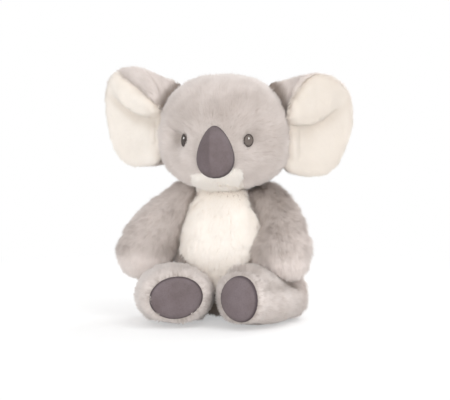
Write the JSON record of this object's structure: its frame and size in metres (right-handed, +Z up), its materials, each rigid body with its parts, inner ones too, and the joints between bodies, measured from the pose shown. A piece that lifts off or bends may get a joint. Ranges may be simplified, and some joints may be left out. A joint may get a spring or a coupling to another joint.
{
  "type": "plush koala",
  "caption": "Seated plush koala with big round cream-lined ears, a padded suede nose, a cream belly and suede soles; its head, ears, arms and legs move at their seams.",
  "frame": {"origin": "on the ground, in the middle of the torso's flat seat", "axes": "+Z up; the koala faces -Y; +X is its own left"},
  "size_m": [0.2015, 0.1162, 0.1987],
  "materials": {
    "grey_plush": "fluffy short pile",
    "cream_plush": "fluffy short pile",
    "grey_suede": "smooth brushed cloth",
    "dark_thread": "satin stitch",
    "white_thread": "satin stitch",
    "filling": "loose fibre",
    "linen": "plain weave"
  },
  "bodies": {
    "torso": {"torso_cover": "grey_plush", "belly_panel": "cream_plush", "torso_filling": "filling", "pellet_bag": "linen"},
    "head": {"head_cover": "grey_plush", "chin_panel": "cream_plush", "head_filling": "filling", "nose_cover": "grey_suede", "nose_filling": "filling", "eye_left": "dark_thread", "eye_right": "dark_thread", "eye_glint_left": "white_thread", "eye_glint_right": "white_thread"},
    "ear_left": {"ear_back_left": "grey_plush", "ear_inner_left": "cream_plush"},
    "ear_right": {"ear_back_right": "grey_plush", "ear_inner_right": "cream_plush"},
    "arm_left": {"arm_cover_left": "grey_plush", "arm_filling_left": "filling"},
    "arm_right": {"arm_cover_right": "grey_plush", "arm_filling_right": "filling"},
    "leg_left": {"leg_cover_left": "grey_plush", "sole_left": "grey_suede", "leg_filling_left": "filling"},
    "leg_right": {"leg_cover_right": "grey_plush", "sole_right": "grey_suede", "leg_filling_right": "filling"}
  },
  "joints": [
    {"name": "head_turn", "type": "hinge", "parent": "torso", "child": "head", "pos_m": [0, -0.004, 0.1015], "axis": [0, 0, 1], "range_deg": [-20, 20], "stiffness_Nm_per_rad": 0.06},
    {"name": "ear_left_fold", "type": "hinge", "parent": "head", "child": "ear_left", "pos_m": [0.04528, 0.00631, 0.1525], "axis": [0, 0, -1], "range_deg": [-18, 18], "stiffness_Nm_per_rad": 0.05},
    {"name": "ear_right_fold", "type": "hinge", "parent": "head", "child": "ear_right", "pos_m": [-0.04378, 0.00631, 0.1595], "axis": [0, 0, 1], "range_deg": [-18, 18], "stiffness_Nm_per_rad": 0.05},
    {"name": "arm_left_lift", "type": "hinge", "parent": "torso", "child": "arm_left", "pos_m": [0.034, 0.002, 0.091], "axis": [0, -1, 0], "range_deg": [0, 45]},
    {"name": "arm_right_lift", "type": "hinge", "parent": "torso", "child": "arm_right", "pos_m": [-0.032, 0.002, 0.091], "axis": [0, 1, 0], "range_deg": [0, 45]},
    {"name": "leg_left_swing", "type": "hinge", "parent": "torso", "child": "leg_left", "pos_m": [0.03855, 0.0012, 0.0174], "axis": [0, 0, 1], "range_deg": [0, 18]},
    {"name": "leg_right_swing", "type": "hinge", "parent": "torso", "child": "leg_right", "pos_m": [-0.02955, 0.0012, 0.0182], "axis": [0, 0, -1], "range_deg": [0, 18]}
  ]
}
